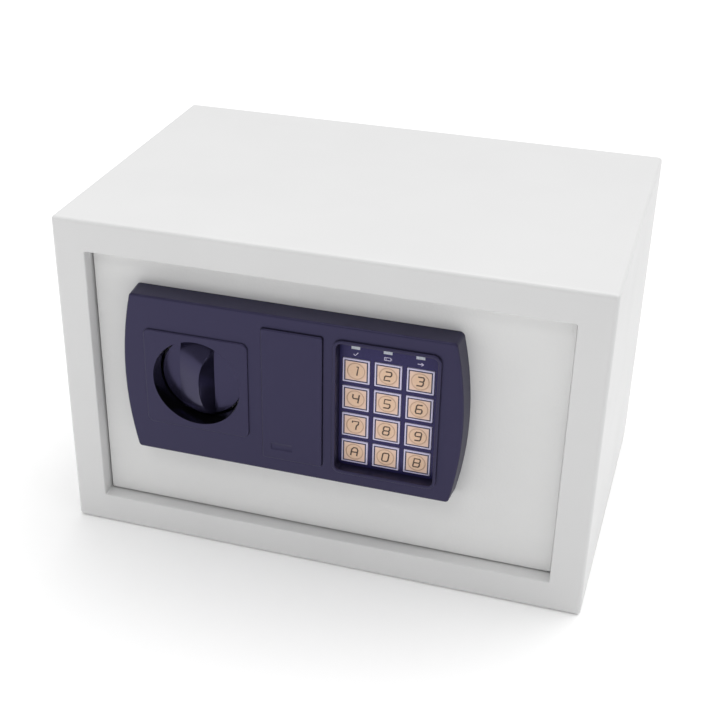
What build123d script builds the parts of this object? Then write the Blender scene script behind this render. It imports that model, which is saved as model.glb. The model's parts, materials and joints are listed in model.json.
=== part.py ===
"""Small electronic in-room safe: steel cabinet, hinged door, keypad lock and bolt work.

Millimetres. +X right, +Y into the safe, +Z up. The origin is the middle of the
footprint on the shelf. A depth is a distance behind the front frame's face, so the
lock panel, which stands proud of that face, has negative depths.
"""

import math
import os

from build123d import *

# ---- driving dimensions -------------------------------------------------------
width = 310.0
height = 200.0
cabinet_depth = 200.0
proud = 6.0                     # how far the keypad frame stands out of the front frame
front_y = -(cabinet_depth - proud) / 2
sheet = 1.5                     # cabinet sheet steel
edge_radius = 2.5
lip_depth = 4.0                 # depth of the frame's outer lip
border = 19.0                   # width of the front frame's face
flange_depth = 12.0             # depth of the return around the doorway
anchor_spacing = 150.0
anchor_radius = 5.0
anchor_depth = 110.0

door_depth = 8.5                # how far the door face is set back
door_thickness = 3.0
gap = 1.0                       # door gap at the free edge, top and bottom
hinge_gap = 0.8
hinge_flange_depth = 9.4        # shorter return on the hinge side, clear of the turning edge
pivot_inset = 13.2              # hinge axis, in from the door's hinge edge
pivot_depth = 15.0
pin_radius = 2.5
leaf_thickness = 3.0
bracket_thickness = 3.0

box_left, box_right = -128.0, 104.0
box_bottom, box_top = 26.0, 174.0
box_sheet = 1.2
box_depth = 46.5                # back face of the door box

panel_thickness = 13.0
panel_x, panel_z = -15.8, 112.5
panel_width, panel_height = 198.4, 101.0
panel_sag = 6.0                 # how far the panel's sides bow outwards
cover_z = 113.0

knob_x, knob_z = -70.0, 112.2
pad_width, pad_height, pad_raise = 62.0, 60.2, 1.0
well_radius = 25.0
well_rim = 26.1                 # the well widens towards the front
knob_radius = 24.5
knob_floor = 5.0                # depth of the floor of the knob's dish
ridge_height = 8.5
shaft_radius = 4.0
crank_reach = 11.67
turn = 80.0                     # knob travel from unlocked to locked
crank_pin_radius = 3.0
running = 0.05                  # radial clearance of a turning shaft
slide_clearance = 0.3

cover_x = -13.4
cover_width, cover_height, cover_thickness = 35.2, 82.0, 2.5
cover_raise = 1.5
pocket_width, pocket_height, pocket_floor = 30.0, 74.0, 4.0

keypad_x, keypad_z = 39.7, 112.2
keypad_frame_width, keypad_frame_height, keypad_frame_raise = 59.8, 83.6, 1.5
keypad_width, keypad_height = 55.9, 79.6
recess_floor = 1.3              # depth of the floor that the keys stand on
floor_thickness = 2.0
key_middle_x = 39.3
key_pitch_x, key_pitch_z = 17.87, 17.18
key_width, key_height = 15.1, 14.5
key_top_row = 133.65
lamp_z = 147.7
lamp_shift = -0.5
lamp_width, lamp_height = 4.8, 1.9
key_gap = 0.25
key_names = ("1", "2", "3", "4", "5", "6", "7", "8", "9", "a", "0", "b")

bolt_radius = 7.0
bolt_length = 40.0
bolt_axis_depth = 20.5
bolt_heights = (75.0, 151.0)
bolt_tip = -133.5
bolt_throw = 15.0
plate_front, plate_back = 22.5, 25.0
plate_left, plate_right, tab_right = -110.0, -50.0, -29.8
post_x = -88.0
post_heights = (84.0, 142.0)

plunger_x, plunger_depth = -36.0, 23.75
plunger_radius = 4.0
plunger_tip = 126.0             # lower end when drawn up
coil_bottom, coil_top, coil_radius = 140.0, 165.0, 9.0
collar_bottom, collar_top = 130.0, 131.5

key_axis_z = 126.5
cylinder_radius = 7.0
plug_radius = 4.5
cam_front, cam_back = 28.3, 30.3
cam_reach = 20.6

battery_x, battery_z = 45.0, 100.0
cell_radius, cell_length = 7.25, 50.5
tray_width, tray_height = 64.0, 62.0
tray_front, tray_back = 30.0, 47.7

reset_x, reset_z = 82.0, 148.0

# ---- worked out ---------------------------------------------------------------
open_width = width - 2 * border
open_height = height - 2 * border
door_width = open_width - gap - hinge_gap
door_height = open_height - 2 * gap
door_x = (gap - hinge_gap) / 2
door_back = door_depth + door_thickness
pivot_x = open_width / 2 - hinge_gap - pivot_inset
panel_front = door_depth - panel_thickness
mid_z = height / 2
key_columns = [key_middle_x + key_pitch_x * step for step in (-1, 0, 1)]
lamp_places = [(x + lamp_shift, lamp_z) for x in key_columns]
key_rows = [key_top_row - key_pitch_z * step for step in range(4)]
key_places = [(x, z) for z in key_rows for x in key_columns]
cell_columns = [battery_x + (2 * cell_radius + 0.3) * step for step in (-1.5, -0.5, 0.5, 1.5)]
box_middle = ((box_left + box_right) / 2, (box_bottom + box_top) / 2)
box_width, box_height = box_right - box_left, box_top - box_bottom

os.makedirs("parts", exist_ok=True)


def at_depth(depth):
    """Plane facing out of the front; its own x and y are the safe's x and z."""
    return Plane.XZ.offset(-(front_y + depth))


def save(builder, label):
    """Label the piece and write it."""
    builder.part.label = label
    export_step(builder.part, f"parts/{label}.step")


# ---- cabinet ------------------------------------------------------------------
# body shell: wrapped sheet, open at the front and back, anchor holes in the floor
anchors_in_floor = [(side * anchor_spacing / 2, front_y + anchor_depth) for side in (-1, 1)]
with BuildPart() as body_shell:
    with BuildSketch(at_depth(cabinet_depth)):
        with Locations((0, mid_z)):
            RectangleRounded(width, height, edge_radius)
            RectangleRounded(
                width - 2 * sheet, height - 2 * sheet, edge_radius - sheet, mode=Mode.SUBTRACT
            )
    extrude(amount=cabinet_depth - lip_depth)
    with BuildSketch(Plane.XY):
        with Locations(*anchors_in_floor):
            Circle(anchor_radius)
    extrude(amount=sheet, mode=Mode.SUBTRACT)
save(body_shell, "body_shell")

# front frame: face, short outer lip and the return around the doorway
with BuildPart() as front_frame:
    with BuildSketch(at_depth(lip_depth)):
        with Locations((0, mid_z)):
            RectangleRounded(width, height, edge_radius)
    extrude(amount=lip_depth)
    fillet(front_frame.faces().sort_by(Axis.Y)[0].edges(), edge_radius - 0.1)
    with BuildSketch(at_depth(lip_depth)):
        with Locations((0, mid_z)):
            RectangleRounded(width - 2 * sheet, height - 2 * sheet, edge_radius - sheet)
    extrude(amount=lip_depth - sheet, mode=Mode.SUBTRACT)
    with BuildSketch(at_depth(flange_depth)):
        with Locations((0, mid_z)):
            RectangleRounded(open_width + 2 * sheet, open_height + 2 * sheet, edge_radius)
    extrude(amount=flange_depth)
    with BuildSketch(at_depth(flange_depth)):
        with Locations((0, mid_z)):
            RectangleRounded(open_width, open_height, edge_radius - sheet)
    extrude(amount=flange_depth, mode=Mode.SUBTRACT)
    doorway = front_frame.faces().sort_by(Axis.Y)[0].inner_wires()[0]
    fillet(doorway.edges(), 0.8)
    with BuildSketch(at_depth(flange_depth)):
        with Locations((open_width / 2, mid_z)):
            Rectangle(4 * sheet, open_height + 4 * sheet)
    extrude(amount=flange_depth - hinge_flange_depth, mode=Mode.SUBTRACT)
save(front_frame, "front_frame")

# back panel: shallow pan let into the shell, with two anchor holes
with BuildPart() as back_panel:
    with BuildSketch(at_depth(cabinet_depth - 0.5)):
        with Locations((0, mid_z)):
            RectangleRounded(width - 2 * sheet, height - 2 * sheet, edge_radius - sheet)
    extrude(amount=10.0)
    with BuildSketch(at_depth(cabinet_depth - 0.5 - sheet)):
        with Locations((0, mid_z)):
            Rectangle(width - 4 * sheet, height - 4 * sheet)
    extrude(amount=10.0, mode=Mode.SUBTRACT)
    with BuildSketch(at_depth(cabinet_depth - 0.5)):
        with Locations(*[(side * anchor_spacing / 2, mid_z) for side in (-1, 1)]):
            Circle(anchor_radius)
    extrude(amount=sheet, mode=Mode.SUBTRACT)
save(back_panel, "back_panel")


def hinge_bracket(plate_bottom, leg_bottom, leg_top):
    """Angle welded to the right wall; its plate carries a hinge pin."""
    bracket_front = flange_depth + 0.3
    bracket_length = 14.0
    wall_x = width / 2 - sheet
    with BuildPart() as bracket:
        with BuildSketch(Plane.XY.offset(plate_bottom)):
            with Locations((wall_x, front_y + bracket_front)):
                Rectangle(42.0, bracket_length, align=(Align.MAX, Align.MIN))
            with Locations((pivot_x, front_y + pivot_depth)):
                Circle(pin_radius + running, mode=Mode.SUBTRACT)
        extrude(amount=bracket_thickness)
        with BuildSketch(Plane.XY.offset(leg_bottom)):
            with Locations((wall_x, front_y + bracket_front)):
                Rectangle(bracket_thickness, bracket_length, align=(Align.MAX, Align.MIN))
        extrude(amount=leg_top - leg_bottom)
    return bracket


doorway_top = mid_z + open_height / 2
doorway_bottom = mid_z - open_height / 2
top_bracket = hinge_bracket(doorway_top, doorway_top - 20.0, doorway_top + bracket_thickness)
save(top_bracket, "hinge_bracket_top")
low_plate = doorway_bottom - bracket_thickness
bottom_bracket = hinge_bracket(low_plate, low_plate, doorway_bottom + 20.0)
save(bottom_bracket, "hinge_bracket_bottom")

# washer that carries the door's weight on the lower bracket
with BuildPart() as hinge_washer:
    with BuildSketch(Plane.XY.offset(doorway_bottom)):
        with Locations((pivot_x, front_y + pivot_depth)):
            Circle(5.5)
            Circle(pin_radius + 0.1, mode=Mode.SUBTRACT)
    extrude(amount=gap - 0.1)
save(hinge_washer, "hinge_washer")

# felt mat on the floor, with a hole over each anchor hole
mat_front, mat_back = 14.0, 186.0
with BuildPart() as floor_mat:
    with BuildSketch(Plane.XY.offset(sheet)):
        with Locations((0, front_y + (mat_front + mat_back) / 2)):
            RectangleRounded(302.0, mat_back - mat_front, 3.0)
        with Locations(*anchors_in_floor):
            Circle(11.0, mode=Mode.SUBTRACT)
    extrude(amount=2.0)
save(floor_mat, "floor_mat")

# ---- door ---------------------------------------------------------------------
panel_screw_places = [(x, z) for x in (-104.0, 72.5) for z in (71.0, 154.0)]
cable_slot = (keypad_x, battery_z)

# door plate with its holes
with BuildPart() as door_plate:
    with BuildSketch(at_depth(door_back)):
        with Locations((door_x, mid_z)):
            RectangleRounded(door_width, door_height, 1.0)
    extrude(amount=door_thickness)
    fillet(door_plate.faces().sort_by(Axis.Y)[0].edges(), 0.5)
    with BuildSketch(at_depth(door_back)):
        with Locations((knob_x, knob_z), (cover_x, key_axis_z)):
            Circle(cylinder_radius)
        with Locations(cable_slot):
            RectangleRounded(16.0, 6.0, 2.0)
    extrude(amount=door_thickness, mode=Mode.SUBTRACT)
    for place in panel_screw_places:
        with BuildSketch(at_depth(door_back)):
            with Locations(place):
                Circle(4.0)
        with BuildSketch(at_depth(door_back - 2.0)):
            with Locations(place):
                Circle(2.0)
        loft(mode=Mode.SUBTRACT)
        with BuildSketch(at_depth(door_back)):
            with Locations(place):
                Circle(2.0)
        extrude(amount=door_thickness, mode=Mode.SUBTRACT)
save(door_plate, "door_plate")

# hinge leaves: rounded tabs welded to the back of the door plate
leaf_levels = (doorway_bottom + gap, doorway_top - gap - leaf_thickness)
with BuildPart() as hinge_leaves:
    for level in leaf_levels:
        with BuildSketch(Plane.XY.offset(level)):
            with Locations((pivot_x, front_y + pivot_depth)):
                Circle(6.0)
            with Locations((pivot_x, front_y + door_back)):
                Rectangle(12.0, pivot_depth - door_back, align=(Align.CENTER, Align.MIN))
            with Locations((pivot_x, front_y + door_back)):
                Rectangle(20.0, 10.0, align=(Align.CENTER, Align.MAX), mode=Mode.SUBTRACT)
            with Locations((pivot_x, front_y + pivot_depth)):
                Circle(pin_radius, mode=Mode.SUBTRACT)
        extrude(amount=leaf_thickness)
save(hinge_leaves, "hinge_leaves")

# hinge pins: pressed in the leaves, turning in the brackets
with BuildPart() as hinge_pins:
    with BuildSketch(Plane.XY.offset(low_plate - 0.5)):
        with Locations((pivot_x, front_y + pivot_depth)):
            Circle(pin_radius)
    extrude(amount=leaf_levels[0] + leaf_thickness - low_plate + 0.5)
    with BuildSketch(Plane.XY.offset(leaf_levels[1])):
        with Locations((pivot_x, front_y + pivot_depth)):
            Circle(pin_radius)
    extrude(amount=doorway_top + bracket_thickness + 0.5 - leaf_levels[1])
save(hinge_pins, "hinge_pins")

# door box: folded ring that holds the lock work, flanged at the back
cover_screw_places = [(x, z) for x in (-122.0, -12.0, 98.0) for z in (32.0, 168.0)]
with BuildPart() as door_box:
    with BuildSketch(at_depth(box_depth)):
        with Locations(box_middle):
            RectangleRounded(box_width, box_height, 2.0)
    extrude(amount=box_depth - door_back)
    with BuildSketch(at_depth(box_depth - box_sheet)):
        with Locations(box_middle):
            RectangleRounded(box_width - 2 * box_sheet, box_height - 2 * box_sheet, 0.8)
    extrude(amount=box_depth - box_sheet - door_back, mode=Mode.SUBTRACT)
    with BuildSketch(at_depth(box_depth)):
        with Locations(box_middle):
            RectangleRounded(box_width - 24.0, box_height - 24.0, 3.0)
        with Locations(*cover_screw_places):
            Circle(1.5)
    extrude(amount=box_sheet, mode=Mode.SUBTRACT)
    with BuildSketch(Plane.YZ.offset(box_left)):
        with Locations(*[(front_y + bolt_axis_depth, z) for z in bolt_heights]):
            Circle(bolt_radius + slide_clearance)
    extrude(amount=box_sheet, mode=Mode.SUBTRACT)
save(door_box, "door_box")

# inner cover over the door box
with BuildPart() as inner_cover:
    with BuildSketch(at_depth(box_depth + box_sheet)):
        with Locations(box_middle):
            RectangleRounded(box_width, box_height, 2.0)
        with Locations((battery_x, battery_z)):
            Rectangle(tray_width, tray_height, mode=Mode.SUBTRACT)
        with Locations((reset_x, reset_z)):
            Circle(3.0, mode=Mode.SUBTRACT)
        with Locations(*cover_screw_places):
            Circle(1.5, mode=Mode.SUBTRACT)
    extrude(amount=box_sheet)
save(inner_cover, "inner_cover")


def pan_screws(places, seat, head_radius, head_height, shank_radius, shank_length):
    """Cross-head screws whose heads sit at the depth called seat."""
    with BuildPart() as screws:
        with BuildSketch(at_depth(seat + head_height)):
            with Locations(*places):
                Circle(head_radius)
        extrude(amount=head_height)
        with BuildSketch(at_depth(seat)):
            with Locations(*places):
                Circle(shank_radius)
        extrude(amount=shank_length)
        with BuildSketch(at_depth(seat + head_height)):
            with Locations(*places):
                Rectangle(2.4, 0.6)
                Rectangle(0.6, 2.4)
        extrude(amount=0.8, mode=Mode.SUBTRACT)
    return screws


cover_screws = pan_screws(cover_screw_places, box_depth + box_sheet, 2.8, 1.8, 1.5, 4.0)
save(cover_screws, "cover_screws")

# ---- lock panel ---------------------------------------------------------------
panel_half = panel_width / 2
panel_corner = panel_half - panel_sag
panel_screw_depth = 0.5
seat_depth = panel_front + cover_thickness - cover_raise
with BuildPart() as lock_panel:
    with BuildSketch(at_depth(door_depth)) as panel_outline:
        with BuildLine(Plane.XY):
            low, high = panel_z - panel_height / 2, panel_z + panel_height / 2
            left, right = panel_x - panel_corner, panel_x + panel_corner
            Line((left, low), (right, low))
            ThreePointArc((right, low), (panel_x + panel_half, panel_z), (right, high))
            Line((right, high), (left, high))
            ThreePointArc((left, high), (panel_x - panel_half, panel_z), (left, low))
        make_face()
        fillet(panel_outline.vertices(), 3.0)
    extrude(amount=panel_thickness, taper=4.0)
    fillet(lock_panel.faces().sort_by(Axis.Y)[0].edges(), 1.2)
    # hollow behind the front skin
    with BuildSketch(at_depth(door_depth)):
        with Locations((panel_x, panel_z)):
            RectangleRounded(panel_width - 16.0, panel_height - 8.0, 3.0)
    extrude(amount=panel_thickness - 3.0, mode=Mode.SUBTRACT)
    # knob surround and the wall of its well
    with BuildSketch(at_depth(panel_front)):
        with Locations((knob_x, knob_z)):
            RectangleRounded(pad_width, pad_height, 4.0)
    extrude(amount=pad_raise)
    fillet(lock_panel.faces().sort_by(Axis.Y)[0].edges(), 0.8)
    with BuildSketch(at_depth(door_depth)):
        with Locations((knob_x, knob_z)):
            Circle(well_rim + 2.0)
    extrude(amount=panel_thickness - 1.0)
    # keypad frame, keypad pan and emergency pocket, walls and floors first
    with BuildSketch(at_depth(panel_front)):
        with Locations((keypad_x, keypad_z)):
            RectangleRounded(keypad_frame_width, keypad_frame_height, 5.0)
    extrude(amount=keypad_frame_raise)
    with BuildSketch(at_depth(recess_floor + floor_thickness)):
        with Locations((keypad_x, keypad_z)):
            RectangleRounded(keypad_frame_width, keypad_frame_height, 5.0)
    extrude(amount=recess_floor + floor_thickness - panel_front)
    with BuildSketch(at_depth(pocket_floor + floor_thickness)):
        with Locations((cover_x, cover_z)):
            Rectangle(pocket_width + 4.0, pocket_height + 4.0)
    extrude(amount=pocket_floor - panel_front)
    # screw bosses
    with BuildSketch(at_depth(door_depth)):
        with Locations(*panel_screw_places):
            Circle(4.0)
    extrude(amount=panel_thickness - 2.0)
    # keypad recess, its rim rounded inside and out
    with BuildSketch(at_depth(recess_floor)):
        with Locations((keypad_x, keypad_z)):
            RectangleRounded(keypad_width, keypad_height, 3.0)
    extrude(amount=recess_floor - panel_front + keypad_frame_raise, mode=Mode.SUBTRACT)
    fillet(lock_panel.faces().sort_by(Axis.Y)[0].edges(), 0.7)
    # knob well, cover seat, emergency pocket and holes
    with BuildSketch(at_depth(door_depth)):
        with Locations((knob_x, knob_z)):
            Circle(well_radius)
    extrude(amount=door_depth - knob_floor, mode=Mode.SUBTRACT)
    well_depth = knob_floor - panel_front + pad_raise
    well_draft = math.degrees(math.atan((well_rim - well_radius) / well_depth))
    with BuildSketch(at_depth(knob_floor)):
        with Locations((knob_x, knob_z)):
            Circle(well_radius)
    extrude(amount=well_depth, taper=-well_draft, mode=Mode.SUBTRACT)
    with BuildSketch(at_depth(seat_depth)):
        with Locations((cover_x, cover_z)):
            RectangleRounded(cover_width + 0.5, cover_height + 0.5, 1.5)
    extrude(amount=seat_depth - panel_front, mode=Mode.SUBTRACT)
    with BuildSketch(at_depth(pocket_floor)):
        with Locations((cover_x, cover_z)):
            Rectangle(pocket_width, pocket_height)
    extrude(amount=pocket_floor - panel_front, mode=Mode.SUBTRACT)
    with BuildSketch(at_depth(door_depth)):
        with Locations((cover_x, key_axis_z)):
            Circle(cylinder_radius)
    extrude(amount=door_depth - pocket_floor, mode=Mode.SUBTRACT)
    with BuildSketch(at_depth(recess_floor + floor_thickness)):
        with Locations(*key_places):
            Rectangle(key_width + 2 * key_gap, key_height + 2 * key_gap)
        with Locations(*lamp_places):
            Rectangle(lamp_width, lamp_height)
    extrude(amount=floor_thickness, mode=Mode.SUBTRACT)
    with BuildSketch(at_depth(door_depth)):
        with Locations(*panel_screw_places):
            Circle(2.0)
    extrude(amount=door_depth - panel_screw_depth, mode=Mode.SUBTRACT)
save(lock_panel, "lock_panel")

# countersunk screws that hold the panel, driven from inside the door
with BuildPart() as panel_screws:
    for place in panel_screw_places:
        with BuildSketch(at_depth(door_back)):
            with Locations(place):
                Circle(4.0)
        with BuildSketch(at_depth(door_back - 2.0)):
            with Locations(place):
                Circle(2.0)
        loft()
        with BuildSketch(at_depth(door_back - 2.0)):
            with Locations(place):
                Circle(2.0)
        extrude(amount=door_back - 2.0 - panel_screw_depth)
save(panel_screws, "panel_screws")

# ---- keypad -------------------------------------------------------------------
overlay_thickness = 0.4
with BuildPart() as keypad_overlay:
    with BuildSketch(at_depth(recess_floor)):
        with Locations((keypad_x, keypad_z)):
            RectangleRounded(keypad_width - 0.4, keypad_height - 0.4, 2.8)
        with Locations(*key_places):
            Rectangle(key_width + 2 * key_gap, key_height + 2 * key_gap, mode=Mode.SUBTRACT)
        with Locations(*lamp_places):
            Rectangle(lamp_width, lamp_height, mode=Mode.SUBTRACT)
    extrude(amount=overlay_thickness)
save(keypad_overlay, "keypad_overlay")

with BuildPart() as indicator_windows:
    with BuildSketch(at_depth(recess_floor + floor_thickness)):
        with Locations(*lamp_places):
            Rectangle(lamp_width, lamp_height)
    extrude(amount=floor_thickness + overlay_thickness + 0.1)
save(indicator_windows, "indicator_windows")

# keypad board with its dome switches
board_front = recess_floor + 3.4
with BuildPart() as keypad_board:
    with BuildSketch(at_depth(board_front + 1.6)):
        with Locations((keypad_x, keypad_z)):
            Rectangle(keypad_width - 2.0, keypad_height - 2.0)
    extrude(amount=1.6)
    with BuildSketch(at_depth(board_front)):
        with Locations(*key_places):
            Circle(3.0)
    extrude(amount=0.3)
save(keypad_board, "keypad_board")

# key caps: a square cap with a plunger underneath
cap_proud = 0.9
cap_depth = 1.4
for name, centre in zip(key_names, key_places):
    with BuildPart() as key_cap:
        with BuildSketch(at_depth(recess_floor + cap_depth)):
            with Locations(centre):
                RectangleRounded(key_width, key_height, 0.6)
        extrude(amount=cap_depth + cap_proud)
        fillet(key_cap.faces().sort_by(Axis.Y)[0].edges(), 0.3)
        with BuildSketch(at_depth(recess_floor + cap_depth + 1.0)):
            with Locations(centre):
                Circle(2.0)
        extrude(amount=1.0)
    save(key_cap, f"key_{name}_cap")

# ---- emergency lock -----------------------------------------------------------
# cover: plate with a snap leg at each end and a shallow finger notch
notch_radius, notch_length, notch_deep = 6.0, 12.5, 0.45
notch_x, notch_z = -19.4, 80.6
with BuildPart() as emergency_cover:
    with BuildSketch(at_depth(seat_depth)):
        with Locations((cover_x, cover_z)):
            RectangleRounded(cover_width, cover_height, 1.5)
    extrude(amount=cover_thickness)
    fillet(emergency_cover.faces().sort_by(Axis.Y)[0].edges(), 0.9)
    with BuildSketch(Plane.YZ.offset(notch_x - notch_length / 2)):
        with Locations((front_y + panel_front - cover_raise - notch_radius + notch_deep, notch_z)):
            Circle(notch_radius)
    extrude(amount=notch_length, mode=Mode.SUBTRACT)
    with BuildSketch(at_depth(seat_depth + 5.0)):
        for side in (-1, 1):
            with Locations((cover_x, cover_z + side * (pocket_height / 2 - 1.2))):
                Rectangle(10.0, 1.6)
    extrude(amount=5.0)
save(emergency_cover, "emergency_cover")

# lock cylinder: flanged barrel through the panel and the door plate
cylinder_front, cylinder_back = 2.0, 22.0
with BuildPart() as lock_cylinder:
    with BuildSketch(at_depth(pocket_floor)):
        with Locations((cover_x, key_axis_z)):
            Circle(9.5)
    extrude(amount=pocket_floor - cylinder_front)
    fillet(lock_cylinder.faces().sort_by(Axis.Y)[0].edges(), 0.6)
    with BuildSketch(at_depth(cylinder_back)):
        with Locations((cover_x, key_axis_z)):
            Circle(cylinder_radius)
    extrude(amount=cylinder_back - pocket_floor)
    with BuildSketch(at_depth(cylinder_back)):
        with Locations((cover_x, key_axis_z)):
            Circle(plug_radius + running)
    extrude(amount=cylinder_back - cylinder_front, mode=Mode.SUBTRACT)
save(lock_cylinder, "lock_cylinder")

with BuildPart() as cylinder_nut:
    with BuildSketch(at_depth(door_back + 4.0)):
        with Locations((cover_x, key_axis_z)):
            RegularPolygon(10.0, 6)
            Circle(cylinder_radius, mode=Mode.SUBTRACT)
    extrude(amount=4.0)
save(cylinder_nut, "cylinder_nut")

# plug that the key turns, with its keyway, and the cam on its tail
with BuildPart() as key_plug:
    with BuildSketch(at_depth(cam_front)):
        with Locations((cover_x, key_axis_z)):
            Circle(plug_radius)
    extrude(amount=cam_front - cylinder_front)
    with BuildSketch(at_depth(cam_back + 1.5)):
        with Locations((cover_x, key_axis_z)):
            Rectangle(4.4, 4.4)
    extrude(amount=cam_back + 1.5 - cam_front)
    with BuildSketch(at_depth(cylinder_front + 9.0)):
        with Locations((cover_x, key_axis_z)):
            Rectangle(1.2, 6.6)
    extrude(amount=9.0, mode=Mode.SUBTRACT)
save(key_plug, "key_plug")

with BuildPart() as lock_cam:
    with BuildSketch(at_depth(cam_back)):
        with Locations((cover_x, key_axis_z)):
            Circle(5.5)
        with Locations((cover_x, key_axis_z - cam_reach / 2)):
            RectangleRounded(6.0, cam_reach, 2.5)
        with Locations((cover_x, key_axis_z)):
            Rectangle(4.4, 4.4, mode=Mode.SUBTRACT)
    extrude(amount=cam_back - cam_front)
save(lock_cam, "lock_cam")

# ---- knob and crank -----------------------------------------------------------
ridge_left, ridge_crest, ridge_right = -12.4, 1.9, 7.2
ridge_half_length = 23.6
arc_radius = (ridge_half_length**2 + ridge_height**2) / (2 * ridge_height)
with BuildPart() as knob:
    with BuildSketch(Plane.XY.offset(knob_z - ridge_half_length)):
        with BuildLine():
            Polyline(
                (knob_x + ridge_left, front_y + knob_floor),
                (knob_x + ridge_crest, front_y + knob_floor - ridge_height),
                (knob_x + ridge_right, front_y + knob_floor),
                close=True,
            )
        make_face()
    extrude(amount=2 * ridge_half_length)
    with BuildSketch(Plane.YZ.offset(knob_x - knob_radius)):
        with Locations((front_y + knob_floor - ridge_height + arc_radius, knob_z)):
            Circle(arc_radius)
    extrude(amount=2 * knob_radius, mode=Mode.INTERSECT)
    with BuildSketch(at_depth(knob_floor)):
        with Locations((knob_x, knob_z)):
            Circle(knob_radius)
    extrude(amount=ridge_height + 1.0, mode=Mode.INTERSECT)
    with BuildSketch(at_depth(door_depth - slide_clearance)):
        with Locations((knob_x, knob_z)):
            Circle(knob_radius)
    extrude(amount=door_depth - slide_clearance - knob_floor)
    with BuildSketch(at_depth(door_depth - slide_clearance)):
        with Locations((knob_x, knob_z)):
            Circle(shaft_radius)
    extrude(amount=4.0, mode=Mode.SUBTRACT)
save(knob, "knob")

# bush pressed in the door plate
with BuildPart() as knob_bush:
    with BuildSketch(at_depth(door_back)):
        with Locations((knob_x, knob_z)):
            Circle(cylinder_radius)
    extrude(amount=door_thickness)
    with BuildSketch(at_depth(door_back + 1.5)):
        with Locations((knob_x, knob_z)):
            Circle(10.0)
    extrude(amount=1.5)
    with BuildSketch(at_depth(door_back + 1.5)):
        with Locations((knob_x, knob_z)):
            Circle(shaft_radius + running)
    extrude(amount=door_thickness + 1.5, mode=Mode.SUBTRACT)
save(knob_bush, "knob_bush")

shaft_front = door_depth - slide_clearance - 4.0
shaft_back = 18.6
crank_front, crank_back = 15.0, 18.0
with BuildPart() as knob_shaft:
    with BuildSketch(at_depth(shaft_back)):
        with Locations((knob_x, knob_z)):
            Circle(shaft_radius)
    extrude(amount=shaft_back - shaft_front)
    with BuildSketch(at_depth(shaft_back)):
        with Locations((knob_x, knob_z)):
            Circle(1.6)
    extrude(amount=9.0, mode=Mode.SUBTRACT)
save(knob_shaft, "knob_shaft")

# crank arm and its riveted pin, drawn unlocked: half the travel past upright
half_turn = math.radians(turn / 2)
crank_pin = (
    knob_x + crank_reach * math.sin(half_turn),
    knob_z + crank_reach * math.cos(half_turn),
)
with BuildPart() as crank_arm:
    with BuildSketch(at_depth(crank_back)):
        with Locations(((knob_x + crank_pin[0]) / 2, (knob_z + crank_pin[1]) / 2)):
            SlotCenterToCenter(crank_reach, 12.0, rotation=90 - turn / 2)
        with Locations((knob_x, knob_z)):
            Circle(shaft_radius, mode=Mode.SUBTRACT)
    extrude(amount=crank_back - crank_front)
    with BuildSketch(at_depth(plate_back + 1.5)):
        with Locations(crank_pin):
            Circle(crank_pin_radius)
    extrude(amount=plate_back + 1.5 - crank_back)
save(crank_arm, "crank_arm")

crank_screw = pan_screws([(knob_x, knob_z)], shaft_back, 3.6, 2.2, 1.6, 8.0)
save(crank_screw, "crank_screw")

# ---- bolt carriage ------------------------------------------------------------
rivet_x = -101.5
tab_low, tab_top = 96.0, 120.0
carriage_low, carriage_high = bolt_heights[0] - 9.0, bolt_heights[1] + 9.0
slot_width = 2 * (crank_pin_radius + 0.32)
slot_low = crank_pin[1] - crank_pin_radius - 0.6
slot_high = knob_z + crank_reach + crank_pin_radius + 0.6
post_neck, post_head = 2.5, 5.0
with BuildPart() as bolt_plate:
    with BuildSketch(at_depth(plate_back)):
        with BuildLine():
            Polyline(
                (plate_left, carriage_low),
                (plate_right, carriage_low),
                (plate_right, tab_low),
                (tab_right, tab_low),
                (tab_right, tab_top),
                (plate_right, tab_top),
                (plate_right, carriage_high),
                (plate_left, carriage_high),
                close=True,
            )
        make_face()
        with Locations((crank_pin[0], (slot_low + slot_high) / 2)):
            Rectangle(slot_width, slot_high - slot_low, mode=Mode.SUBTRACT)
        for post_z in post_heights:
            with Locations((post_x + bolt_throw / 2, post_z)):
                SlotCenterToCenter(bolt_throw + 1.0, 2 * (post_neck + 0.3), mode=Mode.SUBTRACT)
        with Locations(*[(rivet_x, z) for z in bolt_heights]):
            Circle(2.0, mode=Mode.SUBTRACT)
    extrude(amount=plate_back - plate_front)
save(bolt_plate, "bolt_plate")

with BuildPart() as locking_bolts:
    for bolt_z in bolt_heights:
        with BuildSketch(Plane.YZ.offset(bolt_tip)):
            with Locations((front_y + bolt_axis_depth, bolt_z)):
                Circle(bolt_radius)
        extrude(amount=bolt_length)
    chamfer(locking_bolts.faces().sort_by(Axis.X)[:2].edges(), 1.5)
    with BuildSketch(at_depth(plate_back)):
        for bolt_z in bolt_heights:
            with Locations((plate_left, bolt_z)):
                Rectangle(30.0, 20.0, align=(Align.MIN, Align.CENTER))
    extrude(amount=plate_back - plate_front, mode=Mode.SUBTRACT)
    with BuildSketch(at_depth(bolt_axis_depth + bolt_radius)):
        with Locations(*[(rivet_x, z) for z in bolt_heights]):
            Circle(2.0)
    extrude(amount=2 * bolt_radius, mode=Mode.SUBTRACT)
save(locking_bolts, "locking_bolts")

with BuildPart() as bolt_rivets:
    with BuildSketch(at_depth(bolt_axis_depth + bolt_radius - 0.4)):
        with Locations(*[(rivet_x, z) for z in bolt_heights]):
            Circle(2.0)
    extrude(amount=2 * bolt_radius - 0.8)
save(bolt_rivets, "bolt_rivets")

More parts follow.
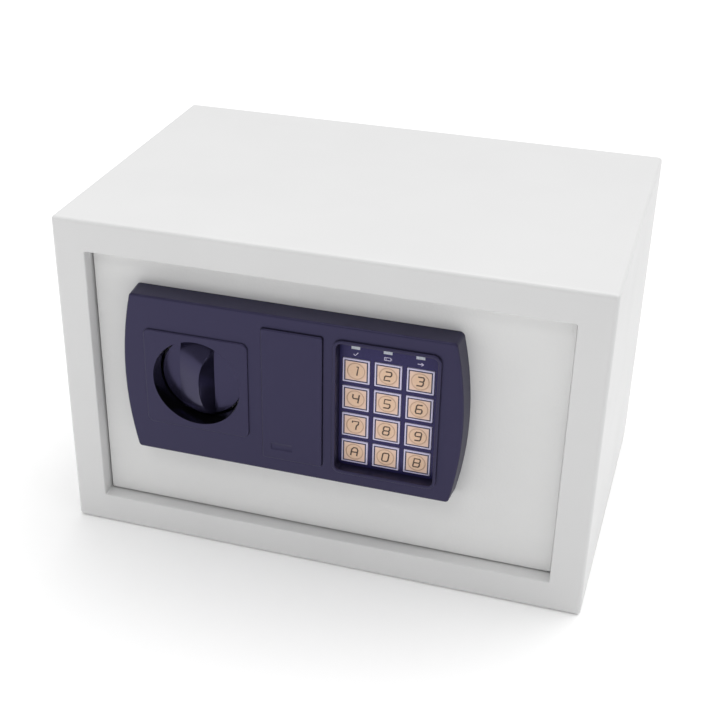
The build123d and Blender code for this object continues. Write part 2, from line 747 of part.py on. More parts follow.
# shouldered posts that the carriage slides on
with BuildPart() as guide_posts:
    for post_z in post_heights:
        for radius, near, far in (
            (4.0, door_back, plate_front - 0.3),
            (post_neck, plate_front - 0.3, plate_back + 0.3),
            (post_head, plate_back + 0.3, plate_back + 2.0),
        ):
            with BuildSketch(at_depth(far)):
                with Locations((post_x, post_z)):
                    Circle(radius)
            extrude(amount=far - near)
save(guide_posts, "guide_posts")

# ---- solenoid -----------------------------------------------------------------
flange_thickness = 2.0
with BuildPart() as solenoid_frame:
    with BuildSketch(Plane.YZ.offset(plunger_x - 10.0)):
        with BuildLine():
            inner, outer = front_y + door_back, front_y + 34.0
            Polyline(
                (outer, coil_bottom - flange_thickness),
                (inner, coil_bottom - flange_thickness),
                (inner, coil_top + flange_thickness),
                (outer, coil_top + flange_thickness),
                (outer, coil_top),
                (inner + flange_thickness, coil_top),
                (inner + flange_thickness, coil_bottom),
                (outer, coil_bottom),
                close=True,
            )
        make_face()
    extrude(amount=20.0)
    with BuildSketch(Plane.XY.offset(coil_bottom - flange_thickness)):
        with Locations((plunger_x, front_y + plunger_depth)):
            Circle(plunger_radius + slide_clearance)
    extrude(amount=flange_thickness, mode=Mode.SUBTRACT)
save(solenoid_frame, "solenoid_frame")

with BuildPart() as solenoid_coil:
    with BuildSketch(Plane.XY.offset(coil_bottom)):
        with Locations((plunger_x, front_y + plunger_depth)):
            Circle(coil_radius)
            Circle(plunger_radius + slide_clearance, mode=Mode.SUBTRACT)
    extrude(amount=coil_top - coil_bottom)
save(solenoid_coil, "solenoid_coil")

with BuildPart() as plunger:
    with BuildSketch(Plane.XY.offset(plunger_tip)):
        with Locations((plunger_x, front_y + plunger_depth)):
            Circle(plunger_radius)
    extrude(amount=38.0)
    chamfer(plunger.edges().sort_by(Axis.Z)[0], 0.6)
    with BuildSketch(Plane.XY.offset(collar_bottom)):
        with Locations((plunger_x, front_y + plunger_depth)):
            Circle(6.5)
    extrude(amount=collar_top - collar_bottom)
save(plunger, "plunger")

# return spring, as the sleeve that its coils fill
with BuildPart() as plunger_spring:
    with BuildSketch(Plane.XY.offset(collar_top)):
        with Locations((plunger_x, front_y + plunger_depth)):
            Circle(6.0)
            Circle(4.8, mode=Mode.SUBTRACT)
    extrude(amount=coil_bottom - flange_thickness - collar_top)
save(plunger_spring, "plunger_spring")

# ---- battery box, boards and leads --------------------------------------------
with BuildPart() as battery_box:
    with BuildSketch(at_depth(tray_back)):
        with Locations((battery_x, battery_z)):
            Rectangle(tray_width, tray_height)
    extrude(amount=tray_back - tray_front)
    with BuildSketch(at_depth(tray_back + 1.0)):
        with Locations((battery_x, battery_z)):
            RectangleRounded(tray_width + 5.0, tray_height + 5.0, 2.0)
    extrude(amount=1.0)
    with BuildSketch(at_depth(tray_back + 1.0)):
        with Locations((battery_x, battery_z)):
            Rectangle(tray_width - 4.0, tray_height - 4.0)
    extrude(amount=tray_back + 1.0 - tray_front - 1.5, mode=Mode.SUBTRACT)
save(battery_box, "battery_box")

cell_depth = tray_front + 1.5 + cell_radius + 0.2
cell_low = battery_z - cell_length / 2
with BuildPart() as batteries:
    for cell_x in cell_columns:
        with BuildSketch(Plane.XY.offset(cell_low)):
            with Locations((cell_x, front_y + cell_depth)):
                Circle(cell_radius)
        extrude(amount=cell_length - 1.0)
        with BuildSketch(Plane.XY.offset(cell_low + cell_length - 1.0)):
            with Locations((cell_x, front_y + cell_depth)):
                Circle(2.6)
        extrude(amount=1.0)
save(batteries, "batteries")

tray_inner_low = battery_z - (tray_height - 4.0) / 2
tray_inner_high = battery_z + (tray_height - 4.0) / 2
with BuildPart() as battery_contacts:
    for low, high in (
        (tray_inner_low, cell_low),
        (cell_low + cell_length, tray_inner_high),
    ):
        for cell_x in cell_columns:
            with BuildSketch(Plane.XY.offset(low)):
                with Locations((cell_x, front_y + cell_depth)):
                    Circle(3.6)
            with BuildSketch(Plane.XY.offset(high)):
                with Locations((cell_x, front_y + cell_depth)):
                    Circle(2.6)
            loft()
save(battery_contacts, "battery_contacts")

# battery lid: plate with a locating rim and two grip ribs
lid_front = tray_back + 1.2
with BuildPart() as battery_lid:
    with BuildSketch(at_depth(lid_front + 1.8)):
        with Locations((battery_x, battery_z)):
            RectangleRounded(tray_width + 3.0, tray_height + 3.0, 2.0)
    extrude(amount=1.8)
    fillet(battery_lid.faces().sort_by(Axis.Y)[-1].edges(), 0.6)
    with BuildSketch(at_depth(lid_front)):
        with Locations((battery_x, battery_z)):
            Rectangle(tray_width - 5.0, tray_height - 5.0)
            Rectangle(tray_width - 8.0, tray_height - 8.0, mode=Mode.SUBTRACT)
    extrude(amount=1.8)
    with BuildSketch(at_depth(lid_front + 2.6)):
        with GridLocations(0, 4.0, 1, 4):
            with Locations((battery_x, battery_z + 16.0)):
                SlotOverall(24.0, 1.6)
    extrude(amount=0.8)
save(battery_lid, "battery_lid")

control_front = 15.0
standoff_places = [(battery_x + sx * 33.0, battery_z + sz * 23.0) for sx in (-1, 1) for sz in (-1, 1)]
with BuildPart() as board_standoffs:
    with BuildSketch(at_depth(control_front)):
        with Locations(*standoff_places):
            RegularPolygon(2.8, 6)
    extrude(amount=control_front - door_back)
save(board_standoffs, "board_standoffs")

with BuildPart() as control_board:
    with BuildSketch(at_depth(control_front + 1.6)):
        with Locations((battery_x, battery_z)):
            Rectangle(74.0, 54.0)
    extrude(amount=1.6)
    with BuildSketch(at_depth(control_front + 3.4)):
        with Locations((battery_x + 10.0, battery_z + 4.0)):
            Rectangle(22.0, 9.0)
        with Locations((battery_x - 20.0, battery_z - 12.0)):
            Rectangle(12.0, 7.0)
    extrude(amount=1.8)
save(control_board, "control_board")

with BuildPart() as keypad_cable:
    with BuildSketch(at_depth(control_front)):
        with Locations(cable_slot):
            Rectangle(12.0, 1.0)
    extrude(amount=control_front - board_front - 1.6)
save(keypad_cable, "keypad_cable")

lead_radius = 0.9
with BuildPart() as battery_lead:
    with BuildSketch(at_depth(tray_front)):
        with Locations((battery_x + 26.0, battery_z + 8.0), (battery_x + 26.0, battery_z + 4.0)):
            Circle(lead_radius)
    extrude(amount=tray_front - control_front - 1.6)
save(battery_lead, "battery_lead")

# lead from the coil to the board: out of the coil, down across the door, in
lead_depth = 32.0
lead_points = [
    (plunger_x + coil_radius + 0.1, front_y + plunger_depth, 158.0),
    (2.0, front_y + plunger_depth, 160.0),
    (12.0, front_y + lead_depth - 4.0, 138.0),
    (12.0, front_y + control_front + 8.0, 118.0),
    (12.0, front_y + control_front + 1.6, 118.0),
]
with BuildPart() as solenoid_lead:
    with BuildLine() as lead_route:
        FilletPolyline(*lead_points, radius=2.5)
    start_plane = Plane(origin=lead_route.line @ 0, z_dir=lead_route.line % 0)
    with BuildSketch(start_plane):
        Circle(lead_radius)
    sweep()
save(solenoid_lead, "solenoid_lead")

# ---- reset button -------------------------------------------------------------
switch_front, switch_back = 34.0, 44.2
with BuildPart() as reset_switch:
    with BuildSketch(at_depth(switch_back)):
        with Locations((reset_x, reset_z)):
            Rectangle(12.0, 12.0)
    extrude(amount=switch_back - switch_front)
    with BuildSketch(at_depth(box_depth)):
        with Locations((reset_x, reset_z)):
            Circle(5.0)
            Circle(2.8, mode=Mode.SUBTRACT)
    extrude(amount=box_depth - switch_back)
save(reset_switch, "reset_switch")

with BuildPart() as reset_button:
    with BuildSketch(at_depth(box_depth + 2.8)):
        with Locations((reset_x, reset_z)):
            Circle(2.5)
    extrude(amount=box_depth + 2.8 - switch_back - 1.2)
    fillet(reset_button.faces().sort_by(Axis.Y)[-1].edges(), 0.5)
save(reset_button, "reset_button")
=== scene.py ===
# %% [markdown]
# # A small in-room safe
# A light-grey steel box with a set-back door, and on the door a navy lock panel: a
# turning knob in a round well, a cover over the spare key lock, three lamps and a
# twelve-key pad in a framed recess. The metal work and everything that moves arrives
# finished from CAD and stays where it is. What is added here is what CAD is poor at:
# a knob with soft curves, printed keys, a felt mat, and a real surface on every piece.

# %% Load the frame
import json
import math

import bmesh
import bpy
from mathutils import Matrix, Vector


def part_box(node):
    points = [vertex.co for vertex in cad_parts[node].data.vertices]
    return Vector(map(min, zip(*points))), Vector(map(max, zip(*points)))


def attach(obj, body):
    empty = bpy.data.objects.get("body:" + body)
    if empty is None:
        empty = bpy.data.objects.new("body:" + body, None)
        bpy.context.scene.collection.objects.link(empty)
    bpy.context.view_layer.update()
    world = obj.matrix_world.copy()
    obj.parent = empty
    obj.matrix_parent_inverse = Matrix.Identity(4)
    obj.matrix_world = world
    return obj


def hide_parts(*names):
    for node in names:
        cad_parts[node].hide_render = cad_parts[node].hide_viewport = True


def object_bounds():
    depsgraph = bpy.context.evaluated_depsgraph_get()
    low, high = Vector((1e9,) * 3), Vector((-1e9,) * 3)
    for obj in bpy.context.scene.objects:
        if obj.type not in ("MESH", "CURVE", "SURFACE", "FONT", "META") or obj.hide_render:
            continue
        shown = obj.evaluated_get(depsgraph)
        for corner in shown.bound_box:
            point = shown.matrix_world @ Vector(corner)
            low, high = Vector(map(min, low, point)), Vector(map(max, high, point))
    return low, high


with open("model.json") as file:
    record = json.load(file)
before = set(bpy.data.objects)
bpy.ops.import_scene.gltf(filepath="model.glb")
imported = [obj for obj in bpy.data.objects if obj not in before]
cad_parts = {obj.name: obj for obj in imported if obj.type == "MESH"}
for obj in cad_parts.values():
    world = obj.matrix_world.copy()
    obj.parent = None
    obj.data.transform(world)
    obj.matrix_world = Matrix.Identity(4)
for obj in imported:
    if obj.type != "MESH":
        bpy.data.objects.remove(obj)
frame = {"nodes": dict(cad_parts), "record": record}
cad_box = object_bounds()
mm = 0.001
print("CAD box in mm:", [[round(v / mm, 1) for v in corner] for corner in cad_box])


# %% [markdown]
# ## Adding up sockets
# A finish is a recipe of numbers that change over a surface. Each step could be wired by
# hand, node after node. A small wrapper lets the same recipe be written as ordinary sums,
# which is shorter and can be read aloud.

# %% Numbers that are sockets
class Number:
    """A socket that adds a Math node whenever it is used in a sum."""

    def __init__(self, finish, socket):
        self.finish = finish
        self.socket = socket

    def math(self, operation, *values):
        return self.finish.math(operation, *values)

    def __add__(self, other):
        return self.math("ADD", self, other)

    def __sub__(self, other):
        return self.math("SUBTRACT", self, other)

    def __rsub__(self, other):
        return self.math("SUBTRACT", other, self)

    def __mul__(self, other):
        return self.math("MULTIPLY", self, other)

    def __abs__(self):
        return self.math("ABSOLUTE", self)

    __radd__ = __add__
    __rmul__ = __mul__


# %% [markdown]
# ## One finish
# Every finish is a single Principled shader, since paint, plastic and plated steel differ
# only in their numbers. What stays the same all over is set on the shader itself; only
# colour, roughness and relief are fed by nodes.

# %% The builder for a finish
class Finish:
    """A material with one shader, and the nodes that vary it over a surface."""

    def __init__(self, name, **constants):
        self.material = bpy.data.materials.new(name)
        self.material.use_nodes = True
        self.tree = self.material.node_tree
        self.tree.nodes.clear()
        self.shader = self.tree.nodes.new("ShaderNodeBsdfPrincipled")
        output = self.tree.nodes.new("ShaderNodeOutputMaterial")
        self.tree.links.new(self.shader.outputs["BSDF"], output.inputs["Surface"])
        for socket, value in constants.items():
            self.shader.inputs[socket.replace("_", " ")].default_value = value

    def node(self, kind, settings=None, inputs=None):
        node = self.tree.nodes.new(kind)
        for key, value in (settings or {}).items():
            setattr(node, key, value)
        for key, value in (inputs or {}).items():
            self.feed(node.inputs[key], value)
        return node

    def feed(self, socket, value):
        if isinstance(value, Number):
            value = value.socket
        if isinstance(value, bpy.types.NodeSocket):
            self.tree.links.new(value, socket)
        else:
            socket.default_value = value

    def math(self, operation, *values):
        node = self.node(
            "ShaderNodeMath", {"operation": operation}, dict(enumerate(values))
        )
        return Number(self, node.outputs[0])

    def place(self, stretch=(1, 1, 1)):
        """Object coordinates in metres, stretched."""
        where = self.node("ShaderNodeTexCoord").outputs["Object"]
        sockets = {"Vector": where, "Scale": stretch}
        return self.node("ShaderNodeMapping", None, sockets).outputs["Vector"]

    def grain(self, size, detail=2.0, stretch=(1, 1, 1)):
        """Soft noise from 0 to 1 whose lumps are about size across."""
        noise = self.node(
            "ShaderNodeTexNoise",
            None,
            {"Vector": self.place(stretch), "Scale": 1 / size, "Detail": detail},
        )
        return Number(self, noise.outputs[0])

    def between(self, value, low, high):
        """The part of value from low to high, spread to 0..1."""
        node = self.node(
            "ShaderNodeMapRange",
            {"clamp": True},
            {"Value": value, "From Min": low, "From Max": high},
        )
        return Number(self, node.outputs[0])

    def mixed(self, amount, first, second):
        colours = {0: amount, 6: first, 7: second}
        return self.node("ShaderNodeMix", {"data_type": "RGBA"}, colours).outputs[2]

    def colour(self, value):
        self.feed(self.shader.inputs["Base Color"], value)

    def roughness(self, value):
        self.feed(self.shader.inputs["Roughness"], value)

    def relief(self, height, depth, strength=1.0):
        bump = self.node(
            "ShaderNodeBump",
            None,
            {"Height": height, "Distance": depth, "Strength": strength},
        )
        self.feed(self.shader.inputs["Normal"], bump.outputs["Normal"])


def tone(red, green, blue):
    return (red, green, blue, 1.0)


finishes = {}


# %% [markdown]
# ## Powder coat
# Powder is sprayed dry and melted in an oven. It levels a little and then freezes, which
# leaves low lumps, like the skin of an orange. The lumps are shallow on the cabinet and
# stronger on the door, which has a textured powder that hides finger marks. A much larger
# and fainter noise makes the gloss wander, as it does where the coat is thicker.

# %% Powder-coated steel
def powder_coat(name, shade, lump, depth, gloss):
    finish = Finish(name)
    fine = finish.grain(lump, 2.0)
    broad = finish.grain(60 * mm, 2.0)
    rubbed = finish.between(finish.grain(9 * mm, 5.0, (1, 1, 0.35)), 0.62, 0.74)
    dull = tuple(0.975 * value for value in shade[:3]) + (1.0,)
    finish.colour(finish.mixed(finish.between(broad, 0.35, 0.7), shade, dull))
    finish.roughness(gloss + 0.10 * (broad - 0.5) + 0.05 * rubbed)
    finish.relief(fine, depth)
    return finish.material


finishes["powder_coat"] = powder_coat(
    "cabinet_powder", tone(0.755, 0.755, 0.755), 1.1 * mm, 0.022 * mm, 0.40
)
finishes["door_coat"] = powder_coat(
    "door_powder", tone(0.82, 0.82, 0.815), 1.4 * mm, 0.13 * mm, 0.42
)
finishes["inner_coat"] = powder_coat(
    "inside_powder", tone(0.72, 0.72, 0.71), 0.9 * mm, 0.03 * mm, 0.50
)


# %% [markdown]
# ## Plated and turned metal
# Zinc plate is dull, slightly blue and cloudy. Bolts are polished and plated, so they are
# smooth with a few long scratches from sliding. Brass is turned, which leaves fine rings.
# All are one recipe: a metal whose roughness carries fine lines, drawn out along the way
# that the tool or the wear went.

# %% Metals
def plated(name, shade, cloud, gloss, scratch, along):
    finish = Finish(name, Metallic=1.0)
    patches = finish.grain(6 * mm, 3.0)
    lines = finish.grain(scratch, 3.0, along)
    finish.colour(finish.mixed(finish.between(patches, 0.3, 0.7), shade, cloud))
    finish.roughness(gloss + 0.22 * (lines - 0.5) + 0.12 * (patches - 0.5))
    finish.relief(lines, 0.01 * mm, 0.6)
    return finish.material


finishes["zinc_steel"] = plated(
    "zinc_plate", tone(0.62, 0.64, 0.67), tone(0.52, 0.53, 0.50), 0.34, 0.5 * mm, (1, 1, 0.12)
)
finishes["chrome_part"] = plated(
    "bright_plate", tone(0.78, 0.79, 0.81), tone(0.72, 0.73, 0.74), 0.16, 0.4 * mm, (0.06, 1, 1)
)
finishes["spring_steel"] = plated(
    "spring_wire", tone(0.50, 0.50, 0.51), tone(0.42, 0.41, 0.40), 0.36, 0.6 * mm, (1, 1, 3)
)
finishes["brass_part"] = plated(
    "turned_brass", tone(0.72, 0.52, 0.22), tone(0.62, 0.42, 0.17), 0.28, 0.35 * mm, (1, 0.1, 1)
)


# %% [markdown]
# ## Moulded plastic
# The lock panel comes out of a mould that was etched to a fine, even grain, so it looks
# satin. The knob comes out of a polished mould and is glossy; it only has the slow waves
# that every glossy moulding has. Both are the same navy plastic. The wall of the knob's
# well is polished too, so the finish is smooth inside that circle, and there its colour is
# painted near black: painted shade for a well so deep that little light comes back from it.

# %% Panel, knob and plain mouldings
def moulding(name, shade, grain_size, depth, gloss, painted_well_shade=None, **constants):
    finish = Finish(name, **constants)
    pores = finish.grain(grain_size, 3.0)
    broad = finish.grain(22 * mm, 2.0)
    lighter = tuple(1.12 * value for value in shade[:3]) + (1.0,)
    colour = finish.mixed(finish.between(broad, 0.3, 0.75), shade, lighter)
    roughness = gloss + 0.08 * (pores - 0.5) + 0.06 * (broad - 0.5)
    # Painted shade: inside the circle of the knob's well the colour is mixed to near black,
    # standing in for the shade of the deep well; the roughness drops there too.
    if painted_well_shade:
        x, z, reach = painted_well_shade
        where = finish.node("ShaderNodeSeparateXYZ", None, {"Vector": finish.place()})
        right, up = Number(finish, where.outputs["X"]) - x, Number(finish, where.outputs["Z"]) - z
        away = finish.math("SQRT", right * right + up * up)
        outside = finish.between(away, reach, reach + 0.1 * mm)
        colour = finish.mixed(outside, tone(0.0025, 0.0025, 0.0025), colour)
        roughness = 0.06 + (roughness - 0.06) * outside
    finish.colour(colour)
    finish.roughness(roughness)
    finish.relief(pores, depth)
    return finish.material


navy = tone(0.0105, 0.0095, 0.020)
blue_sheen = {"Specular_IOR_Level": 0.77, "Specular_Tint": tone(0.54, 0.49, 1.0)}
knob_low, knob_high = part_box("knob")
# The circle round the knob inside which the panel's colour is painted near black as shade.
painted_well_shade = ((knob_low.x + knob_high.x) / 2, (knob_low.z + knob_high.z) / 2, 26.05 * mm)
finishes["panel_plastic"] = moulding(
    "navy_grained_painted_well_shade", navy, 0.35 * mm, 0.02 * mm, 0.42, painted_well_shade, **blue_sheen
)
finishes["knob_plastic"] = moulding("navy_polished", navy, 9 * mm, 0.03 * mm, 0.20, **blue_sheen)
finishes["black_plastic"] = moulding(
    "black_grained", tone(0.018, 0.018, 0.019), 0.4 * mm, 0.02 * mm, 0.46
)
finishes["red_plastic"] = moulding(
    "red_button", tone(0.42, 0.025, 0.02), 4 * mm, 0.02 * mm, 0.24
)
finishes["cable_skin"] = moulding(
    "lead_sheath", tone(0.05, 0.05, 0.052), 0.8 * mm, 0.02 * mm, 0.5
)


# %% [markdown]
# ## Film, lamps and small electrical parts
# The keypad is covered by one polyester film, printed from behind: smooth, faintly
# speckled by the printing screen. The lamps are milky. The cells have a shrink sleeve with
# a copper-coloured end band, the boards a green mask with darker tracks under it, and the
# coil a winding whose turns show through its tape.

# %% Film and lamps
film = Finish("navy_film", Specular_IOR_Level=0.42, Specular_Tint=tone(0.62, 0.55, 1.0))
speck = film.grain(0.45 * mm, 1.0)
darker, paler = tone(0.020, 0.018, 0.070), tone(0.028, 0.025, 0.092)
film.colour(film.mixed(film.between(speck, 0.35, 0.7), darker, paler))
film.roughness(0.32 + 0.1 * (film.grain(3 * mm) - 0.5))
film.relief(film.grain(1.6 * mm, 2.0), 0.02 * mm)
finishes["overlay_film"] = film.material

lamp = Finish("milky_lens", Subsurface_Weight=0.15)
core = lamp.grain(1.1 * mm, 2.0)
lamp.colour(lamp.mixed(core, tone(0.50, 0.50, 0.56), tone(0.72, 0.72, 0.78)))
lamp.roughness(0.28 + 0.1 * (core - 0.5))
finishes["lamp_window"] = lamp.material

# %% Cells, boards and coil
cell = Finish("cell_sleeve")
height = Number(
    cell, cell.node("ShaderNodeSeparateXYZ", None, {"Vector": cell.place()}).outputs["Z"]
)
cell_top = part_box("batteries")[1].z
band = cell.between(height, cell_top - 13.5 * mm, cell_top - 12.5 * mm)
scuff = cell.grain(2.5 * mm, 4.0, (1, 1, 0.3))
cell.colour(cell.mixed(band, tone(0.03, 0.032, 0.035), tone(0.52, 0.26, 0.12)))
cell.roughness(0.28 + 0.2 * (scuff - 0.5))
cell.relief(scuff, 0.02 * mm)
finishes["cell_wrap"] = cell.material

board = Finish("green_mask")
tracks = board.node(
    "ShaderNodeTexVoronoi",
    {"feature": "DISTANCE_TO_EDGE", "distance": "MANHATTAN"},
    {"Vector": board.place(), "Scale": 1 / (3.2 * mm)},
)
track = board.between(tracks.outputs["Distance"], 0.02, 0.09)
board.colour(board.mixed(track, tone(0.02, 0.15, 0.05), tone(0.012, 0.085, 0.03)))
board.roughness(0.3 + 0.12 * (board.grain(1.5 * mm) - 0.5))
board.relief(track, -0.03 * mm)
finishes["circuit_board"] = board.material

coil = Finish("taped_winding")
turns = coil.node(
    "ShaderNodeTexWave",
    {"wave_type": "BANDS", "bands_direction": "Z", "wave_profile": "SIN"},
    {"Vector": coil.place(), "Scale": 1 / (3.1 * mm), "Distortion": 0.3},
)
wire = Number(coil, turns.outputs["Fac"])
coil.colour(coil.mixed(wire, tone(0.16, 0.05, 0.015), tone(0.42, 0.17, 0.05)))
coil.roughness(0.4 - 0.1 * wire)
coil.relief(wire, 0.12 * mm)
finishes["coil_wire"] = coil.material


# %% [markdown]
# ## Felt
# The mat is pressed felt: short fibres lying every way, no weave. Two noises at the width
# of a fibre, one of them stretched, give the nap, and a sheen catches light at low angles.

# %% Felt
felt = Finish("grey_felt", Sheen_Weight=0.5, Sheen_Roughness=0.4)
nap = felt.grain(0.5 * mm, 4.0)
strands = felt.grain(0.35 * mm, 3.0, (0.25, 1, 1))
felt.colour(felt.mixed(nap, tone(0.030, 0.030, 0.033), tone(0.075, 0.075, 0.080)))
felt.roughness(0.92 + 0.08 * (strands - 0.5))
felt.relief(nap + strands, 0.25 * mm)
finishes["felt"] = felt.material


# %% [markdown]
# ## Key faces
# A key is three inks on film: a pale border, a thin navy line and a tan field with a
# circle pressed into it by the dome below. The inks follow faces of the mesh, so their
# edges stay sharp. The circle is too shallow to model, so it is a relief drawn from the
# key's own flat map, whose unit is a millimetre from the middle of the key.

# %% Key inks
def ink(name, shade, speckle, gloss=0.38):
    finish = Finish(name)
    dots = finish.grain(0.5 * mm, 2.0)
    lighter = tuple(min(1.0, value * speckle) for value in shade[:3]) + (1.0,)
    finish.colour(finish.mixed(finish.between(dots, 0.3, 0.7), shade, lighter))
    finish.roughness(gloss + 0.1 * (dots - 0.5))
    finish.relief(dots, 0.008 * mm)
    return finish.material


border_ink = ink("pale_border_ink", tone(0.66, 0.62, 0.82), 1.12)
line_ink = ink("navy_line_ink", tone(0.030, 0.028, 0.075), 1.3)
digit_ink = ink("brown_digit_ink", tone(0.060, 0.030, 0.020), 1.3)

tan = Finish("tan_key_field")
across = tan.node("ShaderNodeUVMap", {"uv_map": "from_middle"}).outputs["UV"]
parts = tan.node("ShaderNodeSeparateXYZ", None, {"Vector": across})
right, up = Number(tan, parts.outputs["X"]), Number(tan, parts.outputs["Y"])
radius = tan.math("SQRT", right * right + up * up)
ring = 1 - tan.between(abs(radius - 4.9), 0.0, 0.45)
rise = 1 - tan.between(radius, 4.4, 5.2)
speckle = tan.grain(0.5 * mm, 2.0)
paper = tan.mixed(speckle, tone(0.78, 0.50, 0.32), tone(0.88, 0.63, 0.45))
pinker = tan.mixed(tan.between(radius, 3.0, 7.5), paper, tone(0.86, 0.62, 0.52))
# Along the circle the tan colour is also mixed towards a dark brown.
tan.colour(tan.mixed(ring * 0.55, pinker, tone(0.40, 0.22, 0.10)))
tan.roughness(0.42 + 0.1 * (speckle - 0.5))
tan.relief(rise - 0.8 * ring + 0.1 * speckle, 0.22 * mm)
finishes["key_face"] = tan.material


# %% [markdown]
# ## Finishes on the CAD pieces
# Each CAD piece names its finish in the record. Its mesh is right already, so only its
# material slot is filled.

# %% Assign
slot_of = {entry["node"]: entry["material_slot"] for entry in frame["record"]["subparts"]}
for node_name, node in frame["nodes"].items():
    node.data.materials.clear()
    node.data.materials.append(finishes[slot_of[node_name]])
print("CAD pieces with a finish:", len(frame["nodes"]))


# %% [markdown]
# ## A finished piece
# Every new piece ends the same way: faces turned outwards, soft shading with crisp
# corners, its finishes, and the body that it moves with.

# %% The last steps of a piece
def finished(name, mesh_work, materials, body, angle=35):
    """Turns a bmesh into a piece that rides on a body."""
    bmesh.ops.remove_doubles(mesh_work, verts=mesh_work.verts, dist=1e-6)
    bmesh.ops.recalc_face_normals(mesh_work, faces=mesh_work.faces)
    mesh = bpy.data.meshes.new(name)
    mesh_work.to_mesh(mesh)
    mesh_work.free()
    mesh.shade_smooth()
    mesh.set_sharp_from_angle(angle=math.radians(angle))
    for material in materials:
        mesh.materials.append(material)
    piece = bpy.data.objects.new(name, mesh)
    bpy.context.collection.objects.link(piece)
    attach(piece, body)
    print(name, "faces", len(mesh.polygons))
    return piece


# %% [markdown]
# ## The knob
# On the real knob a round dish fills the well, and a finger grip rises from it, off the
# middle. On the left it starts with a straight step, then climbs gently to a curved
# crest; on the right it falls steeply to the dish. It sinks into the dish at both ends,
# at the top over a longer way. The dish is a profile spun round the knob's axis, with two
# points close together near its edge, so that the flat floor is shaded flat. The grip is
# a grid pulled into shape, since each of its lines across is the same curve at another
# height.

# %% Dish
low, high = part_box("knob")
middle = (low + high) / 2
dish_radius = (high.x - low.x) / 2
dish_back = high.y
dish_floor = dish_back - 3.7 * mm
grip_top = dish_floor - 8.2 * mm
knob_work = bmesh.new()
profile = [
    (0.0, dish_floor),
    (dish_radius - 0.6 * mm, dish_floor),
    (dish_radius - 0.4 * mm, dish_floor),
    (dish_radius - 0.12 * mm, dish_floor + 0.12 * mm),
    (dish_radius, dish_floor + 0.4 * mm),
    (dish_radius, dish_back),
    (0.0, dish_back),
]
points = [knob_work.verts.new((middle.x + r, y, middle.z)) for r, y in profile]
edges = [knob_work.edges.new(pair) for pair in zip(points, points[1:])]
bmesh.ops.spin(
    knob_work,
    geom=points + edges,
    cent=(middle.x, 0, middle.z),
    axis=(0, 1, 0),
    angle=2 * math.pi,
    steps=96,
    use_merge=True,
)
print("dish radius in mm:", round(dish_radius / mm, 2))


# %% Grip
grip_height = dish_floor - grip_top
step_height = 4.0 * mm
left_edge, crest, foot = -12.1 * mm, 0.7 * mm, 7.2 * mm
across_steps, along_steps = 41, 72


def grip_point(across, along):
    """across runs 0 to 1 from the left edge over the crest to the foot, along -1 to 1."""
    ridge = min(crest + 10.0 * mm * abs(along + 0.1) ** 2.4, foot - 0.5 * mm)
    fall = 1 - along**3.2 if along > 0 else 1 - 0.8 * along**6
    if across <= 0.6:
        share = across / 0.6
        x = left_edge + (ridge - left_edge) * share
        height = (step_height + (grip_height - step_height) * share) * fall
    else:
        share = (across - 0.6) / 0.4
        x = ridge + (foot - ridge) * share
        x -= 0.2 * mm * math.sin(math.pi * share) * fall
        height = grip_height * (1 - share) * fall
    return x, height, along * math.sqrt((dish_radius - 0.15 * mm) ** 2 - x**2)


grip = bmesh.new()
bmesh.ops.create_grid(grip, x_segments=across_steps, y_segments=along_steps, size=1.0)
crest_verts = set()
for vert in grip.verts:
    column = round((vert.co.x + 1) / 2 * across_steps)
    row = round((vert.co.y + 1) / 2 * along_steps)
    across = max(column - 1, 0) / (across_steps - 1)
    along = -1 + 2 * max(row - 1, 0) / (along_steps - 1)
    x, height, z = grip_point(across, along)
    if column in (0, across_steps) or row in (0, along_steps):
        height = -0.3 * mm
    elif abs(across - 0.6) < 0.01:
        crest_verts.add(vert)
    vert.co = (middle.x + x, dish_floor - height, middle.z + z)
bmesh.ops.bevel(
    grip,
    geom=[e for e in grip.edges if crest_verts.issuperset(e.verts)],
    offset=0.6 * mm,
    offset_type="OFFSET",
    affect="EDGES",
    segments=4,
    profile=0.5,
    material=-1,
    clamp_overlap=True,
)
bmesh.ops.holes_fill(grip, edges=[e for e in grip.edges if e.is_boundary], sides=0)
bmesh.ops.recalc_face_normals(grip, faces=grip.faces)
scratch = bpy.data.meshes.new("grip")
grip.to_mesh(scratch)
grip.free()
knob_work.from_mesh(scratch)
bpy.data.meshes.remove(scratch)
knob_finish = [finishes["knob_plastic"]]
knob = finished("knob_grip", knob_work, knob_finish, "knob_assembly", 50)
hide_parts("knob")


# %% [markdown]
# ## Digits
# The digits are printed in the shape of a segment display, leaning to the right. Each is
# a pen stroke: a line through a few corners, given a little thickness, then pressed flat
# on the key. A stroke is easier to keep even than an outline.

